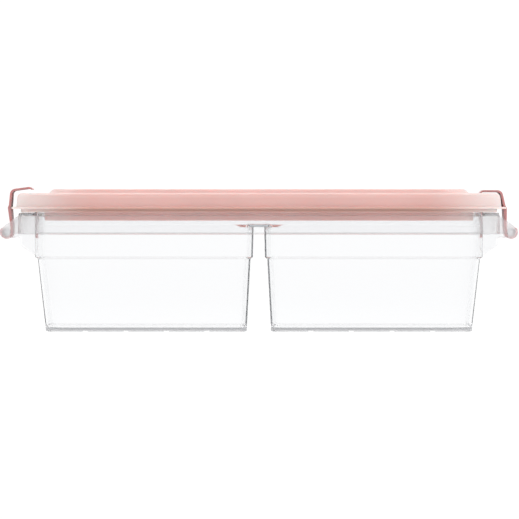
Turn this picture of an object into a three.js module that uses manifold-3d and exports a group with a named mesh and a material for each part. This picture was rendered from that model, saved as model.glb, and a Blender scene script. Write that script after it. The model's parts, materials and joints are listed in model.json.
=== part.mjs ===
// Two-basin bento lunch box: one clear tub, a lid with its silicone gasket, and a clip latch at each end.
// Millimetres, +X along the length, +Y towards the back, +Z up, standing on z = 0.

import * as THREE from 'three';
import { mergeVertices } from 'three/addons/utils/BufferGeometryUtils.js';
import Module from 'manifold-3d';

const wasm = await Module();
wasm.setup();

// ---------------------------------------------------------------- driving dimensions

// Plan outline of the collar, the tub's outermost wall. Every ring is this outline moved in or out.
const COLLAR_HALF_LENGTH = 121;
const COLLAR_HALF_DEPTH = 64;
const COLLAR_RADIUS = 32;
const CORNER_STEPS = 9;
const GAP = 0.3;

// Tub levels
const FOOT_TOP = 1;
const FLOOR_TOP = 2;
const STEP_Z = 36.3;
const STEP_HEIGHT = 1;
const COLLAR_BOTTOM = 48.8;
const BRIDGE_BOTTOM = 52.4;
const BRIDGE_TOP = 53.6;
const FLANGE_BOTTOM = 58.2;
const FLANGE_TOP = 59.5;
const RIM_TOP = 63.6;

// Tub walls
const COLLAR_WALL = 1.4;
const BASIN_WALL = 1.2;
const WELL_OFFSET = -8.5;
const FOOT_WIDTH = 2.4;
const NOTCH_COUNT = 4;
const NOTCH_PITCH = 20.3;
const NOTCH_WIDTH = 2.4;
const NOTCH_HEIGHT = 0.5;

// Lid levels and the cut in its lip where a latch passes
const LID_BOTTOM = 55.6;
const NECK_BOTTOM = 59.8;
const LIP_BOTTOM = 61.5;
const LIP_TOP = 62.4;
const LID_RIM_Z = 69.5;
const LID_GROOVE_Z = 68.8;
const LID_TOP = 71.4;
const LID_CEILING = 67.2;
const PANEL_CEILING = 69.8;
const LIP_CUT_X = 122.5;
const LIP_CUT_CLEARANCE = 0.5;

// Gasket channel, as offsets from the collar outline
const CHANNEL_OUTER = -6;
const CHANNEL_INNER = -12;
const CHANNEL_RIB_BOTTOM = 62.6;

// Latch bars and ears
const BAR_X = 126.9;
const BAR_Z = 49.8;
const BAR_RADIUS = 1.9;
const EAR_RADIUS = 3.1;
const EAR_THICKNESS = 2.2;
const LATCH_WIDTH = 46;
const EAR_CENTRE = LATCH_WIDTH / 2 + GAP + EAR_THICKNESS / 2;

// Latch, measured from its bar
const JAW_INNER = BAR_RADIUS + GAP;
const JAW_OUTER = 3.3;
const JAW_START = THREE.MathUtils.degToRad(150);
const JAW_END = THREE.MathUtils.degToRad(400);
const LATCH_TIP_X = -16;
const LATCH_TIP_RADIUS = 5;
const LEFT_LATCH_OPEN = THREE.MathUtils.degToRad(7.5);

// ---------------------------------------------------------------- solids

function toSolid(geometry) {
  const bare = geometry.clone();
  bare.deleteAttribute('normal');
  bare.deleteAttribute('uv');
  const merged = mergeVertices(bare, 1e-4);
  const vertProperties = new Float32Array(merged.attributes.position.array);
  const triVerts = new Uint32Array(merged.index.array);
  return new wasm.Manifold(new wasm.Mesh({ numProp: 3, vertProperties, triVerts }));
}

function toGeometry(solid) {
  const mesh = solid.getMesh();
  const geometry = new THREE.BufferGeometry();
  geometry.setAttribute('position', new THREE.BufferAttribute(new Float32Array(mesh.vertProperties), 3));
  geometry.setIndex(new THREE.BufferAttribute(new Uint32Array(mesh.triVerts), 1));
  return geometry;
}

function addAll(solids) {
  return solids.reduce((whole, solid) => whole.add(solid));
}

function cutAll(body, cutters) {
  return cutters.reduce((rest, cutter) => rest.subtract(cutter), body);
}

// A rounded rectangle between x = west and x = east, counter-clockwise from above.
function roundedOutline(west, east, halfDepth, westRadius, eastRadius) {
  const corners = [
    [east - eastRadius, halfDepth - eastRadius, eastRadius, 0],
    [west + westRadius, halfDepth - westRadius, westRadius, Math.PI / 2],
    [west + westRadius, westRadius - halfDepth, westRadius, Math.PI],
    [east - eastRadius, eastRadius - halfDepth, eastRadius, Math.PI * 1.5],
  ];
  const points = [];
  for (const [x, y, radius, start] of corners) {
    for (let step = 0; step <= CORNER_STEPS; step += 1) {
      const angle = start + (step / CORNER_STEPS) * (Math.PI / 2);
      points.push(new THREE.Vector2(x + radius * Math.cos(angle), y + radius * Math.sin(angle)));
    }
  }
  return points;
}

// The collar outline moved outwards by offset.
function planOutline(offset) {
  const halfLength = COLLAR_HALF_LENGTH + offset;
  const radius = COLLAR_RADIUS + offset;
  return roundedOutline(-halfLength, halfLength, COLLAR_HALF_DEPTH + offset, radius, radius);
}

function joinRings(rings, closed) {
  const count = rings[0].outline.length;
  const positions = rings.flatMap(({ outline, z }) => outline.flatMap((point) => [point.x, point.y, z]));
  const index = [];
  const bands = closed ? rings.length : rings.length - 1;
  for (let band = 0; band < bands; band += 1) {
    const low = band * count;
    const high = ((band + 1) % rings.length) * count;
    for (let side = 0; side < count; side += 1) {
      const next = (side + 1) % count;
      index.push(low + side, low + next, high + next);
      index.push(low + side, high + next, high + side);
    }
  }
  if (!closed) {
    const top = (rings.length - 1) * count;
    for (let side = 1; side < count - 1; side += 1) {
      index.push(0, side + 1, side);
      index.push(top, top + side, top + side + 1);
    }
  }
  const geometry = new THREE.BufferGeometry();
  geometry.setAttribute('position', new THREE.Float32BufferAttribute(positions, 3));
  geometry.setIndex(index);
  return toSolid(geometry);
}

// A closed solid from a stack of outlines, bottom first.
function loft(rings) {
  return joinRings(rings, false);
}

// A stack of collar outlines, each given as [offset, z].
function planLoft(profile) {
  return loft(profile.map(([offset, z]) => ({ outline: planOutline(offset), z })));
}

// A closed ring whose section is the given [offset, z] outline, outer side upwards first.
function planRing(profile) {
  return joinRings(profile.map(([offset, z]) => ({ outline: planOutline(offset), z })), true);
}

function boxSolid(low, high) {
  const size = high.map((value, axis) => value - low[axis]);
  const centre = high.map((value, axis) => (value + low[axis]) / 2);
  const geometry = new THREE.BoxGeometry(...size);
  geometry.translate(...centre);
  return toSolid(geometry);
}

// A shape drawn in x and z, given thickness along y about centreY.
function plateAcross(shape, thickness, centreY) {
  const extrusion = { depth: thickness, bevelEnabled: false, curveSegments: 10 };
  const geometry = new THREE.ExtrudeGeometry(shape, extrusion);
  geometry.rotateX(Math.PI / 2);
  geometry.translate(0, centreY + thickness / 2, 0);
  return toSolid(geometry);
}

// Turns a solid made for the right-hand end to the left-hand end.
function turnedRound(solid) {
  return solid.rotate([0, 0, 180]);
}

// ---------------------------------------------------------------- tub

// One basin's wall from the foot to the bridge, as
// [inner side x, outer side x, half depth, inner corner radius, outer corner radius, z].
const BASIN_SECTIONS = [
  [6.1, 106.8, 49.8, 7.5, 13, 0],
  [4.2, 111, 54, 8, 21.6, STEP_Z],
  [3, 112.3, 55.3, 8.2, 22.9, STEP_Z + STEP_HEIGHT],
  [2.6, 112.5, 55.5, 8.4, 23.5, BRIDGE_TOP - 0.4],
];

function basinRing([inner, outer, halfDepth, innerRadius, outerRadius, z], inset, side) {
  const near = inner + inset;
  const far = outer - inset;
  const depth = halfDepth - inset;
  const nearRadius = innerRadius - inset;
  const farRadius = outerRadius - inset;
  const outline = side > 0
    ? roundedOutline(near, far, depth, nearRadius, farRadius)
    : roundedOutline(-far, -near, depth, farRadius, nearRadius);
  return { outline, z };
}

// The basin's section part of the way from the foot to the step.
function lowerSection(z) {
  const [foot, step] = BASIN_SECTIONS;
  const share = z / STEP_Z;
  return foot.map((value, place) => THREE.MathUtils.lerp(value, step[place], share));
}

function basinOutside(side) {
  return loft(BASIN_SECTIONS.map((section) => basinRing(section, 0, side)));
}

// The food space: a rounded floor edge, the step, and a curled edge where it meets the bridge.
function basinInside(side) {
  const floorEdge = [[0, 3.4], [0.25, 2.4], [0.9, 1.6], [2.1, BASIN_WALL]];
  const [, step, ledge, top] = BASIN_SECTIONS;
  const bridgeCurl = [[51.7, 0], [52.6, 0.4], [53.2, 1.1], [BRIDGE_TOP + 0.1, 2.5]];
  const rings = floorEdge.map(([rise, inset]) => basinRing(lowerSection(FLOOR_TOP + rise), inset, side));
  rings.push(basinRing(step, BASIN_WALL, side), basinRing(ledge, BASIN_WALL, side));
  for (const [z, curl] of bridgeCurl) {
    const section = [top[0] + curl, ...top.slice(1, -1), z];
    rings.push(basinRing(section, BASIN_WALL, side));
  }
  return loft(rings);
}

function footPocket(side) {
  const below = basinRing(lowerSection(0), FOOT_WIDTH, side);
  const above = basinRing(lowerSection(FOOT_TOP), FOOT_WIDTH, side);
  return loft([{ outline: below.outline, z: -1 }, above]);
}

// Small drain notches across the foot on both long sides.
function footNotches(side) {
  const middle = (side * (BASIN_SECTIONS[0][0] + BASIN_SECTIONS[0][1])) / 2;
  const notches = [];
  for (let place = 0; place < NOTCH_COUNT; place += 1) {
    const x = middle + (place - (NOTCH_COUNT - 1) / 2) * NOTCH_PITCH;
    const low = [x - NOTCH_WIDTH / 2, -COLLAR_HALF_DEPTH, -1];
    const high = [x + NOTCH_WIDTH / 2, COLLAR_HALF_DEPTH, NOTCH_HEIGHT];
    notches.push(boxSolid(low, high));
  }
  return notches;
}

// An ear that holds the bar, with its gusset down to the basin's wall.
function earShape() {
  const shape = new THREE.Shape();
  shape.moveTo(111, 36.6);
  shape.lineTo(112.2, 37.9);
  shape.lineTo(120, 43.2);
  shape.lineTo(120, 47.4);
  shape.lineTo(BAR_X - 0.6, BAR_Z - 3.04);
  shape.absarc(BAR_X, BAR_Z, EAR_RADIUS, Math.PI * 1.44, Math.PI * 0.285, false);
  shape.lineTo(120.6, 58.4);
  shape.lineTo(120.2, 58.9);
  shape.lineTo(112, 58.9);
  shape.lineTo(111.9, 38.5);
  return shape;
}

function latchBar() {
  const length = 2 * EAR_CENTRE + EAR_THICKNESS / 2;
  const bar = new THREE.CylinderGeometry(BAR_RADIUS, BAR_RADIUS, length, 28);
  bar.translate(BAR_X, 0, BAR_Z);
  return toSolid(bar);
}

function makeTub() {
  const collar = planLoft([[0, COLLAR_BOTTOM], [-0.3, FLANGE_TOP - 0.8], [-0.9, FLANGE_TOP]]);
  const collarHollow = planLoft([[-COLLAR_WALL, 48], [-COLLAR_WALL - 0.3, FLANGE_BOTTOM]]);
  const well = planLoft([
    [WELL_OFFSET, BRIDGE_BOTTOM],
    [WELL_OFFSET, RIM_TOP - 0.5],
    [WELL_OFFSET - 0.35, RIM_TOP],
  ]);
  const wellInside = planLoft([
    [WELL_OFFSET - BASIN_WALL, BRIDGE_TOP],
    [WELL_OFFSET - BASIN_WALL, RIM_TOP - 0.4],
    [WELL_OFFSET - BASIN_WALL + 0.3, RIM_TOP + 0.1],
  ]);
  const ears = [-EAR_CENTRE, EAR_CENTRE].map((y) => plateAcross(earShape(), EAR_THICKNESS, y));
  const end = addAll([...ears, latchBar()]);
  const body = addAll([
    collar.subtract(collarHollow),
    well,
    basinOutside(-1),
    basinOutside(1),
    end,
    turnedRound(end),
  ]);
  return cutAll(body, [
    wellInside,
    basinInside(-1),
    basinInside(1),
    footPocket(-1),
    footPocket(1),
    ...footNotches(-1),
    ...footNotches(1),
  ]);
}

// ---------------------------------------------------------------- lid and gasket

// Where a latch passes, the lip is cut back so that the latch's plate stands beside the skirt.
function lipCutBack() {
  const halfWidth = LATCH_WIDTH / 2 + LIP_CUT_CLEARANCE;
  return boxSolid([LIP_CUT_X, -halfWidth, NECK_BOTTOM - 1], [BAR_X, halfWidth, LIP_TOP + 0.3]);
}

function makeLid() {
  const outside = planLoft([
    [-13.5, LID_BOTTOM],
    [-13.2, NECK_BOTTOM],
    [-1.5, NECK_BOTTOM],
    [-1.5, LIP_BOTTOM],
    [3.2, LIP_BOTTOM],
    [3.2, LIP_TOP],
    [0.9, LIP_TOP + 0.2],
    [0.5, LID_RIM_Z - 2.4],
    [0.2, LID_RIM_Z - 1.4],
    [-0.4, LID_RIM_Z - 0.7],
    [-1.3, LID_RIM_Z - 0.2],
    [-2.2, LID_RIM_Z],
    [-6.5, LID_RIM_Z],
    [-8, LID_GROOVE_Z],
    [-14.6, LID_GROOVE_Z],
    [-17, LID_TOP - 0.4],
    [-18, LID_TOP],
  ]);
  const pocket = planLoft([
    [-15, LID_BOTTOM - 1],
    [-14.2, LID_CEILING],
    [-16.8, LID_CEILING],
    [-19, PANEL_CEILING],
  ]);
  const moat = planRing([
    [-3, NECK_BOTTOM - 1],
    [-3, CHANNEL_RIB_BOTTOM + 0.6],
    [-1.5, CHANNEL_RIB_BOTTOM + 1.2],
    [-1.8, LID_CEILING],
    [CHANNEL_OUTER + 1.2, LID_CEILING],
    [CHANNEL_OUTER + 1.2, CHANNEL_RIB_BOTTOM],
    [CHANNEL_OUTER, CHANNEL_RIB_BOTTOM],
    [CHANNEL_OUTER, LID_CEILING],
    [CHANNEL_INNER, LID_CEILING],
    [-13.2, NECK_BOTTOM],
    [-13.27, NECK_BOTTOM - 1],
  ]);
  return cutAll(outside, [pocket, moat, lipCutBack(), turnedRound(lipCutBack())]);
}

function makeGasket() {
  const outer = CHANNEL_OUTER - GAP;
  const inner = CHANNEL_INNER - 0.1 + GAP;
  const low = RIM_TOP + GAP;
  const high = LID_CEILING - GAP;
  const round = 0.6;
  return planRing([
    [outer - round, low],
    [outer, low + round],
    [outer, high],
    [inner, high],
    [inner, low + round],
    [inner + round, low],
  ]);
}

// ---------------------------------------------------------------- latches

// The latch's side view from its bar: the plate, the bend over the lid's edge, and the tip.
function latchPlateShape() {
  const shape = new THREE.Shape();
  shape.moveTo(-2.3, 0.4);
  shape.lineTo(-2.2, 12.2);
  shape.lineTo(-2.9, 13.3);
  shape.lineTo(-4.15, 18.6);
  shape.absarc(-7.05, 18.15, 2.95, 0.16, Math.PI / 2, false);
  shape.lineTo(-14.1, 21.1);
  shape.quadraticCurveTo(-15.2, 20.9, -15.9, 19.75);
  shape.lineTo(-15.7, 19.3);
  shape.lineTo(-15.3, 19.35);
  shape.quadraticCurveTo(-14.9, 19.9, -14.2, 20);
  shape.lineTo(-7.15, 20);
  shape.absarc(-7.15, 18.15, 1.85, Math.PI / 2, 0.16, true);
  shape.lineTo(-4.15, 13.1);
  shape.lineTo(-3.95, 12.2);
  shape.lineTo(-3.6, 0.4);
  return shape;
}

// The jaw that snaps around the bar and stays open at the top, outer side.
function latchJawShape() {
  const shape = new THREE.Shape();
  shape.absarc(0, 0, JAW_OUTER, JAW_START, JAW_END, false);
  shape.absarc(0, 0, JAW_INNER, JAW_END, JAW_START, true);
  return shape;
}

// Seen from above, the tip's two corners are rounded.
function latchPlanSolid() {
  const half = LATCH_WIDTH / 2;
  const cornerX = LATCH_TIP_X + LATCH_TIP_RADIUS;
  const cornerY = half - LATCH_TIP_RADIUS;
  const shape = new THREE.Shape();
  shape.moveTo(JAW_OUTER + 1, -half);
  shape.lineTo(JAW_OUTER + 1, half);
  shape.absarc(cornerX, cornerY, LATCH_TIP_RADIUS, Math.PI / 2, Math.PI, false);
  shape.absarc(cornerX, -cornerY, LATCH_TIP_RADIUS, Math.PI, Math.PI * 1.5, false);
  const geometry = new THREE.ExtrudeGeometry(shape, { depth: 40, bevelEnabled: false, curveSegments: 8 });
  geometry.translate(0, 0, -10);
  return toSolid(geometry);
}

// The right-hand latch, closed, with its bar's axis at the origin.
function makeLatch() {
  const plate = plateAcross(latchPlateShape(), LATCH_WIDTH, 0);
  const jaw = plateAcross(latchJawShape(), LATCH_WIDTH, 0);
  return plate.add(jaw).intersect(latchPlanSolid());
}

// ---------------------------------------------------------------- materials and assembly

function clearPlastic() {
  const look = { color: '#eef0f1', roughness: 0.3, metalness: 0, transparent: true, opacity: 0.4 };
  return new THREE.MeshStandardMaterial(look);
}

function lidPlastic() {
  return new THREE.MeshStandardMaterial({ color: '#e2b9b2', roughness: 0.42, metalness: 0 });
}

function latchPlastic() {
  return new THREE.MeshStandardMaterial({ color: '#c88b8c', roughness: 0.38, metalness: 0 });
}

function siliconeRubber() {
  return new THREE.MeshStandardMaterial({ color: '#f0ece8', roughness: 0.65, metalness: 0 });
}

function namedMesh(name, solid, material) {
  const mesh = new THREE.Mesh(toGeometry(solid), material);
  mesh.name = name;
  return mesh;
}

// Holds a latch on its bar: side is 1 for the right end and -1 for the left, open is its angle outwards.
function placedLatch(name, side, open) {
  const pivot = new THREE.Group();
  pivot.position.set(side * BAR_X, 0, BAR_Z);
  pivot.rotation.y = side * open;
  const mesh = namedMesh(name, makeLatch(), latchPlastic());
  mesh.rotation.z = side > 0 ? 0 : Math.PI;
  pivot.add(mesh);
  return pivot;
}

const lunchBox = new THREE.Group();
lunchBox.add(namedMesh('tub', makeTub(), clearPlastic()));
lunchBox.add(namedMesh('lid', makeLid(), lidPlastic()));
lunchBox.add(namedMesh('lid_gasket', makeGasket(), siliconeRubber()));
lunchBox.add(placedLatch('left_latch', -1, LEFT_LATCH_OPEN));
lunchBox.add(placedLatch('right_latch', 1, 0));

export default lunchBox;
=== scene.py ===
"""Bento lunch box: fine meshes and moulded-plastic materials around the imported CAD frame.

The box's own sizes and places are in millimetres, and turn into metres where a mesh or a node is made.
The stage, the lamps and the camera are in metres.
"""
import json
import math

import bpy
import bmesh
from mathutils import Matrix, Vector


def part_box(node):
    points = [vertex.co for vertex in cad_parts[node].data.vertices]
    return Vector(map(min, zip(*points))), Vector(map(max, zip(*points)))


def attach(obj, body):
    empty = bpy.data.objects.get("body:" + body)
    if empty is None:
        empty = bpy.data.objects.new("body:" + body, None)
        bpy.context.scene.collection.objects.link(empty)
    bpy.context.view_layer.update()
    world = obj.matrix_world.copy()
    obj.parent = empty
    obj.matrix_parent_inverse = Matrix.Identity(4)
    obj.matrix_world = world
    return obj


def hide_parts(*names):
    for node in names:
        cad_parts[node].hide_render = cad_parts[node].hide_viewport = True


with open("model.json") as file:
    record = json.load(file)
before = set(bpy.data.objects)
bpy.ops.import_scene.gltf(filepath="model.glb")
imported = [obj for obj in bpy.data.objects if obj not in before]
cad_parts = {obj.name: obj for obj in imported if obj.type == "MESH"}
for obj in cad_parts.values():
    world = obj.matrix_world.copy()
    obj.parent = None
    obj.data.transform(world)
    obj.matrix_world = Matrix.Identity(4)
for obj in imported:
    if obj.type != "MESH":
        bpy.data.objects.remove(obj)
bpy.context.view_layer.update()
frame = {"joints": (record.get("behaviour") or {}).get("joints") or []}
MM = 0.001

# ---------------------------------------------------------------- places taken from the frame

TUB_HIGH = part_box("tub")[1]
LID_LOW, LID_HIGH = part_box("lid")
JOINTS = {joint["name"]: joint for joint in frame["joints"]}
LEFT_BAR = Vector(JOINTS["left_latch_hinge"]["pos_m"])
RIGHT_BAR = Vector(JOINTS["right_latch_hinge"]["pos_m"])

# ---------------------------------------------------------------- tub sizes

# The collar's outer wall in plan. Every outline of the tray, lid and gasket is this one moved in or out.
COLLAR_HALF_DEPTH = TUB_HIGH.y / MM
LIP_OFFSET = LID_HIGH.y / MM - COLLAR_HALF_DEPTH
COLLAR_HALF_LENGTH = LID_HIGH.x / MM - LIP_OFFSET
COLLAR_RADIUS = 32
CORNER_STEPS = 48
SIDE_STEPS = 10

RIM_TOP = TUB_HIGH.z / MM
COLLAR_BOTTOM = 48.8
COLLAR_WALL = 1.4
COLLAR_LEAN = 0.35
FLANGE_BOTTOM = 58.2
FLANGE_TOP = 59.5
BRIDGE_BOTTOM = 52.4
BRIDGE_TOP = 53.6
# The wall beside the gap curls inwards to the bridge with this radius, flattened, and the basin's cut
# ends just above the bridge.
BRIDGE_CURL = 2.5
CURL_FLATNESS = 0.8
CURL_OVERCUT = 0.06
WELL_OFFSET = -8.5
# The bridge's flat faces are closed from a ring this far inside the well's wall.
BRIDGE_RING_INSET = 6

BASIN_WALL = 1.2
FLOOR_TOP = 2
FLOOR_ROUND = 2.1
STEP_Z = 36.3
# One basin's outer wall from the foot to the bridge, as
# (inner side x, outer side x, half depth, inner corner radius, outer corner radius, z).
BASIN_SECTIONS = (
    (6.1, 106.8, 49.8, 7.5, 13, 0),
    (4.2, 111, 54, 8, 21.6, STEP_Z),
    (3, 112.3, 55.3, 8.2, 22.9, STEP_Z + 1),
    (2.62, 112.48, 55.48, 8.4, 23.5, BRIDGE_TOP - 0.5),
)
# Heights of the rings that a basin's walls are built from, with the softened foot edge as (z, inset).
FOOT_EDGE = ((0, 0.7), (0.15, 0.35), (0.4, 0.12), (0.8, 0))
LOWER_WALL_LEVELS = (6, 12, 18, 24, 30, 35)
OUTER_STEP_RISES = (-0.3, 0, 0.2, 0.5, 0.8, 1, 1.3, 3)
INNER_STEP_RISES = (-0.3, 0, 0.3, 0.6, 1, 1.3, 3)
OUTER_TOP_LEVELS = (44, 48, BRIDGE_TOP - 0.6)
INNER_TOP_LEVELS = (45, 49, 50.8)

FOOT_TOP = 1
FOOT_WIDTH = 2.4
NOTCH_COUNT = 4
NOTCH_PITCH = 20.3
NOTCH_WIDTH = 2.4
NOTCH_HEIGHT = 0.5

# ---------------------------------------------------------------- ear and latch sizes

BAR_X = RIGHT_BAR.x / MM
BAR_Z = RIGHT_BAR.z / MM
BAR_RADIUS = 1.9
EAR_RADIUS = 3.1
EAR_THICKNESS = 2.2
# The rounded nose of an ear goes from below the bar to above it, between these angles in degrees.
EAR_ARC = (252, 411)
# An ear in side view: its gusset from the basin's step up to its nose as (x, z, rounding), and its top
# edge and its root inside the collar as (x, z).
EAR_GUSSET = (
    (111, 36.6, 0),
    (112.2, 37.9, 0.3),
    (120, 43.2, 0.6),
    (120, 47.4, 1.2),
    (BAR_X - 0.96, BAR_Z - 2.95, 0),
)
EAR_ROOT = ((120.6, 58.2), (120.2, 58.8), (112, 58.8), (111.9, 38.5))

LATCH_WIDTH = 46
LATCH_TIP_X = -16
LATCH_TIP_RADIUS = 5
LATCH_TOP = 21.1
LATCH_HOOK_THICKNESS = 1.1
LATCH_BEND_RADIUS = 2.95
# The block that the latch's plan is cut from reaches past the jaw, and below and above the latch.
LATCH_BLOCK_X = 5
LATCH_BLOCK_LOW = -10
LATCH_BLOCK_HIGH = 30
JAW_INNER = 2.2
JAW_OUTER = 3.3
# In degrees.
JAW_END_ANGLE = 395
LEFT_LATCH_OPEN = 7.5

GAP = 0.3

# ---------------------------------------------------------------- lid and gasket sizes

# Heights, from the plug's lower end up to the raised panel.
LID_BOTTOM = LID_LOW.z / MM
NECK_BOTTOM = 59.8
LIP_BOTTOM = 61.5
LIP_TOP = 62.4
CHANNEL_RIB_BOTTOM = 62.6
LID_CEILING = 67.2
LID_GROOVE_Z = 68.8
LID_RIM_Z = 69.5
PANEL_CEILING = 69.8
LID_TOP = LID_HIGH.z / MM

# Offsets from the collar's outer wall, from the skirt in to the ring that the panel's flat faces are
# closed from.
SKIRT_FOOT = 0.7
SKIRT_TOP = 0.1
RIM_INNER = -6.9
GROOVE_OUTER = -8.2
GROOVE_INNER = -15
NECK_OUTER = -1.5
NECK_INNER = -3
RIB_OUTER = -4.8
RIB_INNER = -6
CHANNEL_INNER = -12
PLUG_OUTER = -13.5
PLUG_INNER = -15
PANEL_EDGE = -17.6
PANEL_RING = -26

LIP_CUT_X = 122.5
LIP_CUT_MARGIN = 0.5
GASKET_INNER = -11.8

# ---------------------------------------------------------------- colours and finishes

CLEAR = (0.97, 0.972, 0.976)
MILKY = (0.88, 0.88, 0.885)
# Painted shade: greys that stand for the dark band at the foot and the dark lines along the clear wall's
# edges.
FOOT_SHADE_GREY = (0.6, 0.6, 0.61)
EDGE_LINE_SHADE_GREY = (0.9, 0.9, 0.903)
WALL_ABSORPTION = (0.6, 0.62, 0.64)
LID_DARK = (0.72, 0.455, 0.42)
LID_LIGHT = (0.75, 0.48, 0.445)
# Painted light: a paler pink for the lid's ends, where the side lamps and a grazing sheen brighten them.
LID_END_PAINTED_LIGHT_PINK = (0.73, 0.64, 0.62)
LID_SHADED_PINK = (0.54, 0.335, 0.285)
ROSE_DARK = (0.47, 0.235, 0.235)
ROSE_LIGHT = (0.51, 0.26, 0.26)
SILICONE_DARK = (0.8, 0.78, 0.75)
SILICONE_LIGHT = (0.86, 0.84, 0.82)

# The clear plastic's roughness and its transparency, from clear to fully frosted.
CLEAR_ROUGHNESS = (0.05, 0.75)
CLEAR_TRANSMISSION = (1, 0.6)
CLEAR_DENSITY = 15
LID_ROUGHNESS = 0.32
LATCH_ROUGHNESS = 0.36
PLASTIC_IOR = 1.49
# The clear walls bend light less than real polypropylene, so that their corners stay free of streaks.
CLEAR_IOR = 1.11

# Where the finish or a painted light changes, as (from, to, value before, value after). The first four go
# by the distance from the box's middle along its length, and the last two by height.
EAR_FROST = (122.5, 126, 0, 0.6)
GUSSET_FROST = (112.8, 113.4, 0, 0.14)
COLLAR_FROST = (109, 116, 0.12, 0.4)
# Painted light: the lid's ends turn paler between these distances.
LID_PAINTED_LIGHT_ENDS = (80, 122, 0, 0.85)
COLLAR_START = (COLLAR_BOTTOM - 0.3, COLLAR_BOTTOM + 0.2, 0, 1)
FOOT_FROST = (1.8, 2.5, 0.8, 0)
# Bands of painted shade, as (lowest, highest): grey painted along the collar's edge and along the step to
# darken the edge lines there, and shaded pink painted on the neck under the lip.
PAINTED_SHADE_LINES = ((COLLAR_BOTTOM - 0.1, COLLAR_BOTTOM + 0.8), (STEP_Z, STEP_Z + 0.8))
SHADED_NECK = (60.1, 62.3)
BAND_SOFTNESS = 0.2

# ---------------------------------------------------------------- stage, lamps and camera, in metres

FLOOR_FRONT = -9
BACKDROP_BEND = (6.4, 0.6)
BACKDROP_TOP = (7, 8)
STAGE_HALF_WIDTH = 10
# How the floor's and the world's glow falls off to the sides, as (from, to, middle, sides).
FLOOR_GLOW = (1, 4, 1.03, 0.85)
WORLD_GLOW = (0.45, 0.9, 0.6, 0.5)

LAMP_TARGET = (0, 0, 0.04)
# Area lamps as (name, place, size, watts, seen in reflections and through clear walls).
LAMPS = (
    ("side_left", (-1.1, -0.35, 0.35), (1.1, 0.7), 4.6, False),
    ("side_right", (1.1, -0.35, 0.35), (1.1, 0.7), 6.5, False),
    ("key", (0, -1.2, 1.2), (1.4, 0.8), 3.5, True),
    ("overhead", (0, 0.5, 1.2), (1.6, 0.8), 9, True),
)

CAMERA_X = 0.0003
CAMERA_HEIGHT = 0.07
CAMERA_DISTANCE = 6
AIM_HEIGHT = 0.0361
# The upright plane that VIEW_WIDTH is measured on, between the box's middle and its front.
VIEW_PLANE_Y = -0.038
VIEW_WIDTH = 0.2603
SENSOR_WIDTH = 36

LIGHT_BOUNCES = 24


# ---------------------------------------------------------------- outlines and meshes

# The most of a straight side that the bend at one of its ends may take up.
BEND_SHARE = 0.48


def arc(centre, radius, start, end, steps):
    """Points on an arc, both ends included, angles in degrees."""
    points = []
    for step in range(steps + 1):
        angle = math.radians(start + (end - start) * step / steps)
        points.append((centre[0] + radius * math.cos(angle), centre[1] + radius * math.sin(angle)))
    return points


def rounded_path(corners, closed, steps=4):
    """A polyline of (a, b, radius) corners, each softened by a bend of about its radius."""
    points = []
    count = len(corners)
    for place, (a, b, radius) in enumerate(corners):
        here = Vector((a, b))
        is_end = not closed and place in (0, count - 1)
        if is_end or radius <= 0:
            points.append((a, b))
            continue
        before = Vector(corners[place - 1][:2]) - here
        after = Vector(corners[(place + 1) % count][:2]) - here
        turn = before.angle(after)
        longest = BEND_SHARE * min(before.length, after.length)
        reach = min(radius / math.tan(turn / 2), longest)
        start = here + before.normalized() * reach
        end = here + after.normalized() * reach
        for step in range(steps + 1):
            share = step / steps
            bend = start.lerp(here, share).lerp(here.lerp(end, share), share)
            points.append((bend.x, bend.y))
    return points


def rounded_outline(west, east, half_depth, west_radius, east_radius):
    """A rounded rectangle in plan, counter-clockwise, with points along its sides too."""
    corners = (
        (east - east_radius, half_depth - east_radius, east_radius, 0),
        (west + west_radius, half_depth - west_radius, west_radius, 90),
        (west + west_radius, west_radius - half_depth, west_radius, 180),
        (east - east_radius, east_radius - half_depth, east_radius, 270),
    )
    curves = [arc((x, y), radius, start, start + 90, CORNER_STEPS) for x, y, radius, start in corners]
    points = []
    for curve, following in zip(curves, curves[1:] + curves[:1]):
        points += curve
        last = Vector(curve[-1])
        first = Vector(following[0])
        for step in range(1, SIDE_STEPS):
            side = last.lerp(first, step / SIDE_STEPS)
            points.append((side.x, side.y))
    return points


def plan_outline(offset):
    """The collar's outline moved out by an offset, which stays above minus COLLAR_RADIUS."""
    half_length = COLLAR_HALF_LENGTH + offset
    radius = COLLAR_RADIUS + offset
    return rounded_outline(-half_length, half_length, COLLAR_HALF_DEPTH + offset, radius, radius)


def new_object(name, data):
    made = bpy.data.objects.new(name, data)
    bpy.context.scene.collection.objects.link(made)
    return made


def finished_object(name, built):
    """An object with a mesh made from what was built, its faces turned outwards."""
    bmesh.ops.recalc_face_normals(built, faces=built.faces)
    mesh = bpy.data.meshes.new(name)
    built.to_mesh(mesh)
    built.free()
    return new_object(name, mesh)


def ring_stack(name, rings, closed=False):
    """A solid through (outline, z) rings of equal counts: capped at both ends, or closed into a loop."""
    built = bmesh.new()
    count = len(rings[0][0])
    rows = [[built.verts.new((x * MM, y * MM, z * MM)) for x, y in outline] for outline, z in rings]
    bands = len(rows) if closed else len(rows) - 1
    for band in range(bands):
        low = rows[band]
        high = rows[(band + 1) % len(rows)]
        for side in range(count):
            following = (side + 1) % count
            built.faces.new((low[side], low[following], high[following], high[side]))
    if not closed:
        built.faces.new(list(reversed(rows[0])))
        built.faces.new(rows[-1])
    return finished_object(name, built)


def plan_stack(name, corners, closed=False, steps=4):
    """A ring stack of collar outlines, from a section of (offset, z, radius) corners."""
    section = rounded_path(corners, closed, steps)
    return ring_stack(name, [(plan_outline(offset), z) for offset, z in section], closed)


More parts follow.
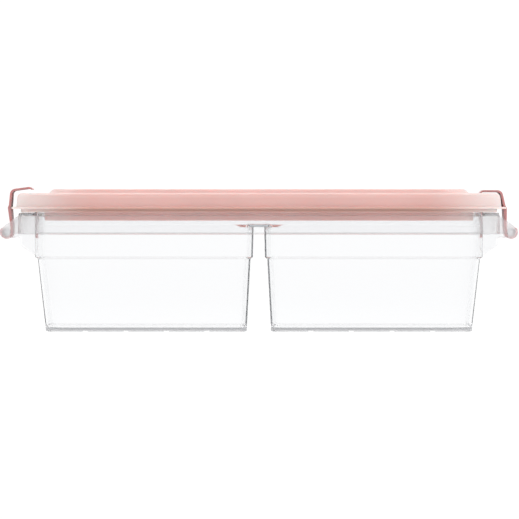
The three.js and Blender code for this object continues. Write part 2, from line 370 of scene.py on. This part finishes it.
def side_plate(name, points, low_y, high_y):
    """A solid from a side-view outline in x and z, from low_y to high_y."""
    built = bmesh.new()
    front = [built.verts.new((x * MM, low_y * MM, z * MM)) for x, z in points]
    back = [built.verts.new((x * MM, high_y * MM, z * MM)) for x, z in points]
    built.faces.new(front)
    built.faces.new(list(reversed(back)))
    for place in range(len(points)):
        following = (place + 1) % len(points)
        built.faces.new((front[place], back[place], back[following], front[following]))
    return finished_object(name, built)


def block(name, low, high):
    """A plain block between two corners, used to cut with."""
    points = [(low[0], low[2]), (high[0], low[2]), (high[0], high[2]), (low[0], high[2])]
    return side_plate(name, points, low[1], high[1])


def apply_modifiers(piece):
    """Replaces the piece's mesh with its modified mesh."""
    bpy.context.view_layer.update()
    graph = bpy.context.evaluated_depsgraph_get()
    finished = bpy.data.meshes.new_from_object(piece.evaluated_get(graph))
    piece.modifiers.clear()
    old = piece.data
    piece.data = finished
    finished.name = piece.name
    bpy.data.meshes.remove(old)


def combine(piece, others, operation):
    """Joins the others to the piece, cuts them out of it or keeps what they share, and removes them."""
    for other in others:
        modifier = piece.modifiers.new(operation.lower(), "BOOLEAN")
        modifier.operation = operation
        modifier.solver = "MANIFOLD"
        modifier.object = other
        apply_modifiers(piece)
        bpy.data.objects.remove(other)


def round_edges(piece, width, angle):
    """Rounds the edges that turn by more than an angle in degrees."""
    bevel = piece.modifiers.new("round", "BEVEL")
    bevel.width = width * MM
    bevel.segments = 2
    bevel.limit_method = "ANGLE"
    bevel.angle_limit = math.radians(angle)
    bevel.use_clamp_overlap = True
    apply_modifiers(piece)


def smooth(piece, angle):
    """Smooth shading that keeps the large flat faces flat, so that clear walls refract truly."""
    mesh = piece.data
    for polygon in mesh.polygons:
        polygon.use_smooth = True
    mesh.set_sharp_from_angle(angle=math.radians(angle))
    weighted = piece.modifiers.new("weighted", "WEIGHTED_NORMAL")
    weighted.mode = "FACE_AREA"
    weighted.weight = 90
    weighted.keep_sharp = True
    apply_modifiers(piece)


def turned_copies(solids):
    """Copies of the solids turned half round, for the left-hand end."""
    half_turn = Matrix.Rotation(math.pi, 4, "Z")
    turned = []
    for solid in solids:
        copy = new_object(solid.name + "_turned", solid.data.copy())
        copy.data.transform(half_turn)
        turned.append(copy)
    return turned


# ---------------------------------------------------------------- shader nodes

# Places of the colour sockets on a Mix node, whose sockets share their names.
MIX_FIRST_COLOUR = 6
MIX_SECOND_COLOUR = 7
MIX_RESULT_COLOUR = 2


def new_material(name):
    """A material with one Principled shader, with its node tree and that shader."""
    material = bpy.data.materials.new(name)
    material.use_nodes = True
    tree = material.node_tree
    tree.nodes.clear()
    output = tree.nodes.new("ShaderNodeOutputMaterial")
    shader = tree.nodes.new("ShaderNodeBsdfPrincipled")
    tree.links.new(shader.outputs["BSDF"], output.inputs["Surface"])
    return material, tree, shader


def add_noise(tree, scale, detail):
    place = tree.nodes.new("ShaderNodeTexCoord")
    noise = tree.nodes.new("ShaderNodeTexNoise")
    noise.inputs["Scale"].default_value = scale
    noise.inputs["Detail"].default_value = detail
    tree.links.new(place.outputs["Object"], noise.inputs["Vector"])
    return noise


def vary(tree, noise, low, high):
    """Noise stretched between two values."""
    spread = tree.nodes.new("ShaderNodeMapRange")
    spread.inputs["To Min"].default_value = low
    spread.inputs["To Max"].default_value = high
    tree.links.new(noise.outputs["Fac"], spread.inputs["Value"])
    return spread.outputs["Result"]


def mottle(tree, noise, dark, light):
    """A soft mottle between two colours."""
    ramp = tree.nodes.new("ShaderNodeValToRGB")
    ramp.color_ramp.elements[0].position = 0.35
    ramp.color_ramp.elements[1].position = 0.65
    ramp.color_ramp.elements[0].color = (*dark, 1)
    ramp.color_ramp.elements[1].color = (*light, 1)
    tree.links.new(noise.outputs["Fac"], ramp.inputs["Fac"])
    return ramp.outputs["Color"]


def add_bump(tree, shader, noise, distance, strength):
    """A fine relief from noise, its height in metres."""
    bump = tree.nodes.new("ShaderNodeBump")
    bump.inputs["Distance"].default_value = distance
    bump.inputs["Strength"].default_value = strength
    tree.links.new(noise.outputs["Fac"], bump.inputs["Height"])
    tree.links.new(bump.outputs["Normal"], shader.inputs["Normal"])


def ramp_between(tree, value, low, high, at_low, at_high):
    """A smooth change of a number from at_low to at_high while value goes from low to high."""
    ramp = tree.nodes.new("ShaderNodeMapRange")
    ramp.interpolation_type = "SMOOTHSTEP"
    ramp.inputs["From Min"].default_value = low
    ramp.inputs["From Max"].default_value = high
    ramp.inputs["To Min"].default_value = at_low
    ramp.inputs["To Max"].default_value = at_high
    tree.links.new(value, ramp.inputs["Value"])
    return ramp.outputs["Result"]


def calculate(tree, operation, first, *second):
    """One step of arithmetic on one or two sockets."""
    node = tree.nodes.new("ShaderNodeMath")
    node.operation = operation
    for socket, value in zip(node.inputs, (first, *second)):
        tree.links.new(value, socket)
    return node.outputs["Value"]


def coordinate(tree, output, axis):
    """One axis of a texture coordinate: Object in metres, Normal, or a world's Generated."""
    place = tree.nodes.new("ShaderNodeTexCoord")
    parts = tree.nodes.new("ShaderNodeSeparateXYZ")
    tree.links.new(place.outputs[output], parts.inputs["Vector"])
    return parts.outputs[axis]


def distance_aside(tree):
    """How far a point is from the box's middle along its length, in metres."""
    return calculate(tree, "ABSOLUTE", coordinate(tree, "Object", "X"))


def change_along(tree, low, high, at_middle, at_ends):
    """A number that changes between two distances from the box's middle, in millimetres."""
    return ramp_between(tree, distance_aside(tree), low * MM, high * MM, at_middle, at_ends)


def change_upwards(tree, low, high, at_low, at_high):
    """A number that changes between two heights in millimetres."""
    height = coordinate(tree, "Object", "Z")
    return ramp_between(tree, height, low * MM, high * MM, at_low, at_high)


def height_band(tree, low, high):
    """1 between two heights in millimetres, 0 above and below them."""
    above = change_upwards(tree, low - BAND_SOFTNESS, low + BAND_SOFTNESS, 0, 1)
    below = change_upwards(tree, high - BAND_SOFTNESS, high + BAND_SOFTNESS, 1, 0)
    return calculate(tree, "MULTIPLY", above, below)


def uprightness(tree):
    """1 on upright faces, 0 on level ones."""
    tilt = calculate(tree, "ABSOLUTE", coordinate(tree, "Normal", "Z"))
    return ramp_between(tree, tilt, 0.3, 0.8, 1, 0)


def blend(tree, share, first, second):
    """A colour between two, each a colour or a socket, by a share from 0 to 1."""
    mix = tree.nodes.new("ShaderNodeMix")
    mix.data_type = "RGBA"
    tree.links.new(share, mix.inputs["Factor"])
    for socket, colour in ((MIX_FIRST_COLOUR, first), (MIX_SECOND_COLOUR, second)):
        if isinstance(colour, tuple):
            mix.inputs[socket].default_value = (*colour, 1)
        else:
            tree.links.new(colour, mix.inputs[socket])
    return mix.outputs[MIX_RESULT_COLOUR]


# ---------------------------------------------------------------- materials


def clear_frost(tree):
    """How frosted the clear plastic is, with the foot's share of it on its own, which also lays the
    painted grey shade on the foot.
    """
    low_down = change_upwards(tree, *FOOT_FROST)
    foot = calculate(tree, "MULTIPLY", low_down, uprightness(tree))
    high_up = change_upwards(tree, *COLLAR_START)
    collar = calculate(tree, "MULTIPLY", high_up, change_along(tree, *COLLAR_FROST))
    frost = calculate(tree, "MAXIMUM", foot, collar)
    for region in (EAR_FROST, GUSSET_FROST):
        frost = calculate(tree, "MAXIMUM", frost, change_along(tree, *region))
    return frost, foot


def clear_colour(tree, frost, foot):
    """Clear where there is no frost, milky with it, and painted grey shade at the foot and along the
    collar's edge and the step.
    """
    colour = blend(tree, frost, CLEAR, MILKY)
    colour = blend(tree, foot, colour, FOOT_SHADE_GREY)
    # Painted shade: grey bands that darken the lines along the collar's edge and the step.
    for low, high in PAINTED_SHADE_LINES:
        colour = blend(tree, height_band(tree, low, high), colour, EDGE_LINE_SHADE_GREY)
    return colour


def absorb_light(tree):
    """Greys the light that goes a long way inside the wall, which draws the box's edges."""
    volume = tree.nodes.new("ShaderNodeVolumeAbsorption")
    volume.inputs["Color"].default_value = (*WALL_ABSORPTION, 1)
    volume.inputs["Density"].default_value = CLEAR_DENSITY
    tree.links.new(volume.outputs["Volume"], tree.nodes["Material Output"].inputs["Volume"])


def let_light_through(tree, shader):
    """Lets the lamps shine straight through the clear walls on what is inside."""
    rays = tree.nodes.new("ShaderNodeLightPath")
    open_air = tree.nodes.new("ShaderNodeBsdfTransparent")
    mix = tree.nodes.new("ShaderNodeMixShader")
    tree.links.new(rays.outputs["Is Shadow Ray"], mix.inputs["Fac"])
    tree.links.new(shader.outputs["BSDF"], mix.inputs[1])
    tree.links.new(open_air.outputs["BSDF"], mix.inputs[2])
    tree.links.new(mix.outputs["Shader"], tree.nodes["Material Output"].inputs["Surface"])


def clear_polypropylene():
    """Clear polypropylene: milky on the collar, gussets and ears, and frosted with painted grey shade on
    the foot.
    """
    material, tree, shader = new_material("clear_polypropylene")
    cloud = add_noise(tree, scale=35, detail=3)
    grain = add_noise(tree, scale=900, detail=2)
    frost, foot = clear_frost(tree)
    haze = ramp_between(tree, frost, 0, 1, *CLEAR_ROUGHNESS)
    roughness = calculate(tree, "MULTIPLY", haze, vary(tree, cloud, 0.5, 0.8))
    transmission = ramp_between(tree, frost, 0, 1, *CLEAR_TRANSMISSION)
    tree.links.new(clear_colour(tree, frost, foot), shader.inputs["Base Color"])
    tree.links.new(roughness, shader.inputs["Roughness"])
    tree.links.new(transmission, shader.inputs["Transmission Weight"])
    shader.inputs["IOR"].default_value = CLEAR_IOR
    add_bump(tree, shader, grain, distance=0.00002, strength=0.05)
    absorb_light(tree)
    let_light_through(tree, shader)
    return material


def opaque_plastic(name, dark, light, roughness):
    """Moulded polypropylene: a faint mottle, an eggshell gloss and a fine spark-eroded grain."""
    material, tree, shader = new_material(name)
    cloud = add_noise(tree, scale=28, detail=4)
    grain = add_noise(tree, scale=1400, detail=2)
    gloss = vary(tree, cloud, roughness - 0.02, roughness + 0.02)
    tree.links.new(mottle(tree, cloud, dark, light), shader.inputs["Base Color"])
    tree.links.new(gloss, shader.inputs["Roughness"])
    shader.inputs["IOR"].default_value = PLASTIC_IOR
    shader.inputs["Subsurface Weight"].default_value = 0.5
    shader.inputs["Subsurface Radius"].default_value = (1, 0.5, 0.42)
    shader.inputs["Subsurface Scale"].default_value = 0.003
    add_bump(tree, shader, grain, distance=0.00004, strength=0.35)
    return material


def lid_pink():
    """The lid's pale pink, with painted light that makes it paler towards its two rounded ends, and
    painted shade that makes it darker on the neck under the lip.
    """
    material = opaque_plastic("lid_pink", LID_DARK, LID_LIGHT, LID_ROUGHNESS)
    tree = material.node_tree
    base = tree.nodes["Principled BSDF"].inputs["Base Color"]
    plain = base.links[0].from_socket
    shaded = blend(tree, height_band(tree, *SHADED_NECK), plain, LID_SHADED_PINK)
    # Painted light: paler towards the lid's ends.
    painted_light_share = change_along(tree, *LID_PAINTED_LIGHT_ENDS)
    tree.links.new(blend(tree, painted_light_share, shaded, LID_END_PAINTED_LIGHT_PINK), base)
    return material


def latch_rose():
    return opaque_plastic("latch_rose", ROSE_DARK, ROSE_LIGHT, LATCH_ROUGHNESS)


def silicone():
    """Matt silicone, slightly translucent."""
    material, tree, shader = new_material("silicone")
    cloud = add_noise(tree, scale=60, detail=3)
    tone = mottle(tree, cloud, SILICONE_DARK, SILICONE_LIGHT)
    tree.links.new(tone, shader.inputs["Base Color"])
    tree.links.new(vary(tree, cloud, 0.55, 0.7), shader.inputs["Roughness"])
    shader.inputs["Subsurface Weight"].default_value = 0.3
    shader.inputs["Subsurface Scale"].default_value = 0.002
    return material


def finish_piece(piece, material, body, node):
    """Dresses a finished piece, and lets it stand for its CAD node."""
    piece.data.materials.clear()
    piece.data.materials.append(material)
    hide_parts(node)
    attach(piece, body)


# ---------------------------------------------------------------- tub


def basin_section(z):
    """The basin's wall at a height, read along the sections."""
    for low, high in zip(BASIN_SECTIONS, BASIN_SECTIONS[1:]):
        if z <= high[-1]:
            break
    share = (z - low[-1]) / (high[-1] - low[-1])
    return tuple(a + (b - a) * share for a, b in zip(low[:-1], high[:-1]))


def basin_ring(z, inset, side, curl=0):
    """One basin's outline at a height, moved in; curl moves the wall beside the gap in further."""
    inner, outer, half_depth, inner_radius, outer_radius = basin_section(z)
    near = inner + curl + inset
    far = outer - inset
    near_radius = inner_radius - inset
    far_radius = outer_radius - inset
    if side > 0:
        outline = rounded_outline(near, far, half_depth - inset, near_radius, far_radius)
    else:
        outline = rounded_outline(-far, -near, half_depth - inset, far_radius, near_radius)
    return outline, z


def basin_outside(side):
    """The outer wall, with a softened foot edge."""
    levels = list(LOWER_WALL_LEVELS)
    levels += [STEP_Z + rise for rise in OUTER_STEP_RISES]
    levels += OUTER_TOP_LEVELS
    rings = [basin_ring(z, inset, side) for z, inset in FOOT_EDGE]
    rings += [basin_ring(z, 0, side) for z in levels]
    return ring_stack("basin_outside", rings)


def basin_inside(side):
    """The food space, with a rounded floor edge and a curled edge at the bridge."""
    rings = []
    for x, z in arc((FLOOR_ROUND, FLOOR_ROUND), FLOOR_ROUND, 270, 180, 8):
        rings.append(basin_ring(FLOOR_TOP + z, BASIN_WALL + x, side))
    levels = list(LOWER_WALL_LEVELS[1:])
    levels += [STEP_Z + rise for rise in INNER_STEP_RISES]
    levels += INNER_TOP_LEVELS
    rings += [basin_ring(z, BASIN_WALL, side) for z in levels]
    top = BRIDGE_TOP + CURL_OVERCUT
    for x, z in arc((BRIDGE_CURL, 0), BRIDGE_CURL, 180, 95, 8):
        level = top - (BRIDGE_CURL - z) * CURL_FLATNESS
        rings.append(basin_ring(level, BASIN_WALL, side, curl=x))
    return ring_stack("basin_inside", rings)


def foot_pocket(side):
    """The hollow inside the foot ring."""
    outline, _ = basin_ring(0, FOOT_WIDTH, side)
    return ring_stack("foot_pocket", [(outline, -1), basin_ring(FOOT_TOP, FOOT_WIDTH, side)])


def foot_notches(side):
    """The shallow drain notches across the foot ring."""
    inner, outer = BASIN_SECTIONS[0][:2]
    middle = side * (inner + outer) / 2
    notches = []
    for place in range(NOTCH_COUNT):
        x = middle + (place - (NOTCH_COUNT - 1) / 2) * NOTCH_PITCH
        low = (x - NOTCH_WIDTH / 2, -COLLAR_HALF_DEPTH, -1)
        high = (x + NOTCH_WIDTH / 2, COLLAR_HALF_DEPTH, NOTCH_HEIGHT)
        notches.append(block("foot_notch", low, high))
    return notches


def tray(name):
    """The collar, flange, rim and bridge in one, before the basins are let into it."""
    inside = WELL_OFFSET - BASIN_WALL
    return plan_stack(
        name,
        [
            (WELL_OFFSET - BRIDGE_RING_INSET, BRIDGE_BOTTOM, 0),
            (WELL_OFFSET, BRIDGE_BOTTOM, 0.3),
            (WELL_OFFSET, FLANGE_BOTTOM, 0.6),
            (-COLLAR_WALL - 0.3, FLANGE_BOTTOM, 0.6),
            (-COLLAR_WALL, COLLAR_BOTTOM, 0.45),
            (0, COLLAR_BOTTOM, 0.5),
            (-COLLAR_LEAN, FLANGE_TOP, 0.9),
            (WELL_OFFSET, FLANGE_TOP, 0.4),
            (WELL_OFFSET, RIM_TOP, 0.5),
            (inside, RIM_TOP, 0.5),
            (inside, BRIDGE_TOP, 0.5),
            (inside - BRIDGE_RING_INSET, BRIDGE_TOP, 0),
        ],
    )


def ear_solids():
    """The right-hand end's ears with their gussets, and the bar between them."""
    outline = rounded_path(EAR_GUSSET, closed=False)
    outline += arc((BAR_X, BAR_Z), EAR_RADIUS, *EAR_ARC, 24)[1:]
    outline += EAR_ROOT
    spacing = LATCH_WIDTH / 2 + GAP + EAR_THICKNESS / 2
    solids = []
    for centre in (-spacing, spacing):
        ear = side_plate("ear", outline, centre - EAR_THICKNESS / 2, centre + EAR_THICKNESS / 2)
        round_edges(ear, width=0.35, angle=50)
        solids.append(ear)
    reach = spacing + EAR_THICKNESS / 4
    circle = arc((BAR_X, BAR_Z), BAR_RADIUS, 0, 360, 48)[:-1]
    solids.append(side_plate("bar", circle, -reach, reach))
    return solids


def make_tub(material):
    """One moulding: the tray, both basins, and the ears and bar of each end."""
    tub = tray("tub_moulding")
    ends = ear_solids()
    ends += turned_copies(ends)
    combine(tub, [basin_outside(-1), basin_outside(1)] + ends, "UNION")
    hollows = []
    for side in (-1, 1):
        hollows += [basin_inside(side), foot_pocket(side)] + foot_notches(side)
    combine(tub, hollows, "DIFFERENCE")
    smooth(tub, angle=30)
    finish_piece(tub, material, "box", "tub")


# ---------------------------------------------------------------- lid and gasket


def lid_section():
    """The lid's wall as (offset, z, radius), from the panel over the rim and lip, and back below."""
    outside = [
        (PANEL_RING, LID_TOP, 0),
        (PANEL_EDGE, LID_TOP, 1.5),
        (GROOVE_INNER, LID_GROOVE_Z, 1.2),
        (GROOVE_OUTER, LID_GROOVE_Z, 1),
        (RIM_INNER, LID_RIM_Z, 1.2),
        (SKIRT_TOP, LID_RIM_Z, 3),
        (SKIRT_FOOT, LIP_TOP + 0.2, 0.4),
        (LIP_OFFSET, LIP_TOP, 0.3),
        (LIP_OFFSET, LIP_BOTTOM, 0.3),
        (NECK_OUTER, LIP_BOTTOM, 0.4),
        (NECK_OUTER, NECK_BOTTOM, 0.4),
    ]
    gasket_channel = [
        (NECK_INNER, NECK_BOTTOM, 0.4),
        (NECK_INNER, CHANNEL_RIB_BOTTOM + 0.6, 0.6),
        (NECK_INNER + 1.3, CHANNEL_RIB_BOTTOM + 1.2, 0.6),
        (NECK_INNER + 1.1, LID_CEILING, 0.6),
        (RIB_OUTER, LID_CEILING, 0.4),
        (RIB_OUTER, CHANNEL_RIB_BOTTOM, 0.35),
        (RIB_INNER, CHANNEL_RIB_BOTTOM, 0.35),
        (RIB_INNER, LID_CEILING, 0.3),
        (CHANNEL_INNER, LID_CEILING, 0.3),
    ]
    plug_and_panel = [
        (PLUG_OUTER, LID_BOTTOM, 0.45),
        (PLUG_INNER, LID_BOTTOM, 0.45),
        (PLUG_INNER + 0.8, LID_CEILING, 0.8),
        (PANEL_EDGE + 0.8, LID_CEILING, 0.8),
        (PANEL_EDGE - 1.4, PANEL_CEILING, 0.8),
        (PANEL_RING, PANEL_CEILING, 0),
    ]
    return outside + gasket_channel + plug_and_panel


def make_lid(material):
    """The lid, with its lip cut back at both ends to let the latches pass."""
    lid = plan_stack("lid_moulding", lid_section())
    half_width = LATCH_WIDTH / 2 + LIP_CUT_MARGIN
    low = (LIP_CUT_X, -half_width, NECK_BOTTOM - 1)
    high = (BAR_X, half_width, LIP_TOP + 0.3)
    cut_back = block("lip_cut", low, high)
    combine(lid, [cut_back] + turned_copies([cut_back]), "DIFFERENCE")
    smooth(lid, angle=40)
    finish_piece(lid, material, "cover", "lid")


def make_gasket(material):
    """A soft ring with two sealing beads on its lower face."""
    outer = RIB_INNER - GAP
    inner = GASKET_INNER
    low = RIM_TOP + GAP
    high = LID_CEILING - GAP
    middle = (outer + inner) / 2
    gasket = plan_stack(
        "gasket_ring",
        [
            (outer - 0.9, low, 0.5),
            (outer, low + 0.7, 0.4),
            (outer, high, 0.4),
            (inner, high, 0.4),
            (inner, low + 0.7, 0.4),
            (inner + 0.9, low, 0.5),
            (middle - 0.7, low, 0.3),
            (middle, low + 0.5, 0.4),
            (middle + 0.7, low, 0.3),
        ],
        closed=True,
        steps=3,
    )
    smooth(gasket, angle=50)
    finish_piece(gasket, material, "cover", "lid_gasket")


# ---------------------------------------------------------------- latches


def latch_outline():
    """The latch's side view measured from its bar: plate, bend, tip, and the jaw round the bar."""
    under = LATCH_TOP - LATCH_HOOK_THICKNESS
    bend_z = LATCH_TOP - LATCH_BEND_RADIUS
    outline = [(-2.3, 1.1), (-2.2, 12.2), (-2.9, 13.3)]
    outline += arc((-7.05, bend_z), LATCH_BEND_RADIUS, 9, 90, 12)
    tip = [
        (-10, LATCH_TOP, 0),
        (-14.3, LATCH_TOP, 1.6),
        (-15.95, 19.7, 0.3),
        (-15.7, 19.35, 0.2),
        (-15.3, 19.4, 0.3),
        (-14.5, under, 0.9),
        (-10, under, 0),
    ]
    outline += rounded_path(tip, closed=False)
    outline += arc((-7.15, bend_z), LATCH_BEND_RADIUS - LATCH_HOOK_THICKNESS, 90, 9, 12)
    outline += [(-4.15, 13.1), (-3.95, 12.2)]
    outline += rounded_path([(-3.7, 6, 0), (-3.55, 1.6, 1.5), (-3.25, 0.6, 0)], closed=False)
    return outline + jaw_outline()


def jaw_outline():
    """The open ring round the bar, from its outer face round a blunt end and back along its inner one."""
    outline = arc((0, 0), JAW_OUTER, 180, JAW_END_ANGLE - 1, 44)
    middle_radius = (JAW_INNER + JAW_OUTER) / 2
    end = arc((0, 0), middle_radius, JAW_END_ANGLE + 5, JAW_END_ANGLE + 5, 1)[0]
    outline += arc(end, (JAW_OUTER - JAW_INNER) / 2, 35, 205, 6)[1:-1]
    outline += arc((0, 0), JAW_INNER, JAW_END_ANGLE + 1, 155, 44)
    return outline


def latch_plan_block():
    """The latch's outline from above, with rounded tip corners, as a block to keep it within."""
    half = LATCH_WIDTH / 2
    corners = [
        (LATCH_BLOCK_X, -half, 0),
        (LATCH_BLOCK_X, half, 0),
        (LATCH_TIP_X, half, LATCH_TIP_RADIUS),
        (LATCH_TIP_X, -half, LATCH_TIP_RADIUS),
    ]
    plan = rounded_path(corners, closed=True, steps=10)
    return ring_stack("latch_plan", [(plan, LATCH_BLOCK_LOW), (plan, LATCH_BLOCK_HIGH)])


def make_latch(body, node, material, side, bar, opened):
    """A latch made closed and facing right, then turned to its own end and angle on its bar."""
    half = LATCH_WIDTH / 2
    latch = side_plate(body, latch_outline(), -half, half)
    combine(latch, [latch_plan_block()], "INTERSECT")
    round_edges(latch, width=0.22, angle=50)
    smooth(latch, angle=35)
    facing = Matrix.Rotation(0 if side > 0 else math.pi, 4, "Z")
    opening = Matrix.Rotation(side * math.radians(opened), 4, "Y")
    latch.data.transform(Matrix.Translation(bar) @ opening @ facing)
    finish_piece(latch, material, body, node)


# ---------------------------------------------------------------- stage, light and camera


def floor_white():
    """A white that glows by itself, so that nothing casts a grey patch on it."""
    material, tree, shader = new_material("floor_white")
    shader.inputs["Base Color"].default_value = (0.03, 0.03, 0.03, 1)
    shader.inputs["Roughness"].default_value = 0.9
    shader.inputs["Specular IOR Level"].default_value = 0
    shader.inputs["Emission Color"].default_value = (1, 1, 1, 1)
    glow = ramp_between(tree, distance_aside(tree), *FLOOR_GLOW)
    tree.links.new(glow, shader.inputs["Emission Strength"])
    return material


def make_floor():
    """A white sweep that runs up behind the box."""
    bend_y, bend_radius = BACKDROP_BEND
    points = [(FLOOR_FRONT, 0)]
    points += arc((bend_y, bend_radius), bend_radius, 270, 360, 12)
    points.append(BACKDROP_TOP)
    built = bmesh.new()
    left = [built.verts.new((-STAGE_HALF_WIDTH, y, z)) for y, z in points]
    right = [built.verts.new((STAGE_HALF_WIDTH, y, z)) for y, z in points]
    for place in range(len(points) - 1):
        built.faces.new((left[place], right[place], right[place + 1], left[place + 1]))
    floor = finished_object("floor", built)
    floor.data.materials.append(floor_white())
    smooth(floor, angle=35)


def turn_towards(thing, target):
    """Points a lamp or a camera at a target."""
    direction = Vector(target) - thing.location
    thing.rotation_euler = direction.to_track_quat("-Z", "Y").to_euler()


def make_lamp(name, place, size, watts, seen):
    """An area lamp; seen says whether it shows in glossy surfaces and through clear walls."""
    data = bpy.data.lights.new(name, "AREA")
    data.shape = "RECTANGLE"
    data.size, data.size_y = size
    data.energy = watts
    lamp = new_object(name, data)
    lamp.location = place
    turn_towards(lamp, LAMP_TARGET)
    lamp.visible_glossy = seen
    lamp.visible_transmission = seen


def make_world():
    """A white studio, a little dimmer to the sides."""
    world = bpy.data.worlds.new("white_studio")
    bpy.context.scene.world = world
    world.use_nodes = True
    tree = world.node_tree
    background = tree.nodes["Background"]
    background.inputs["Color"].default_value = (1, 1, 1, 1)
    aside = calculate(tree, "ABSOLUTE", coordinate(tree, "Generated", "X"))
    tree.links.new(ramp_between(tree, aside, *WORLD_GLOW), background.inputs["Strength"])


def make_lighting():
    make_world()
    for lamp in LAMPS:
        make_lamp(*lamp)


def make_camera():
    """A long lens in front, nearly level with the top of the lid and aimed at the box's middle."""
    data = bpy.data.cameras.new("camera")
    data.sensor_width = SENSOR_WIDTH
    data.lens = SENSOR_WIDTH * CAMERA_DISTANCE / VIEW_WIDTH
    data.clip_start = 0.05
    data.clip_end = 30
    camera = new_object("camera", data)
    camera.location = (CAMERA_X, VIEW_PLANE_Y - CAMERA_DISTANCE, CAMERA_HEIGHT)
    turn_towards(camera, (CAMERA_X, VIEW_PLANE_Y, AIM_HEIGHT))
    bpy.context.scene.camera = camera


def set_render_look():
    """Plain colours, and enough bounces for the light inside the clear walls to find its way out."""
    scene = bpy.context.scene
    scene.view_settings.view_transform = "Standard"
    scene.cycles.use_denoising = True
    scene.cycles.max_bounces = LIGHT_BOUNCES
    scene.cycles.glossy_bounces = LIGHT_BOUNCES
    scene.cycles.transmission_bounces = LIGHT_BOUNCES
    scene.cycles.transparent_max_bounces = 16


# ---------------------------------------------------------------- build

make_camera()
make_lighting()
make_floor()
set_render_look()

make_tub(clear_polypropylene())
make_lid(lid_pink())
make_gasket(silicone())
rose = latch_rose()
make_latch("left_clip", "left_latch", rose, -1, LEFT_BAR, LEFT_LATCH_OPEN)
make_latch("right_clip", "right_latch", rose, 1, RIGHT_BAR, 0)
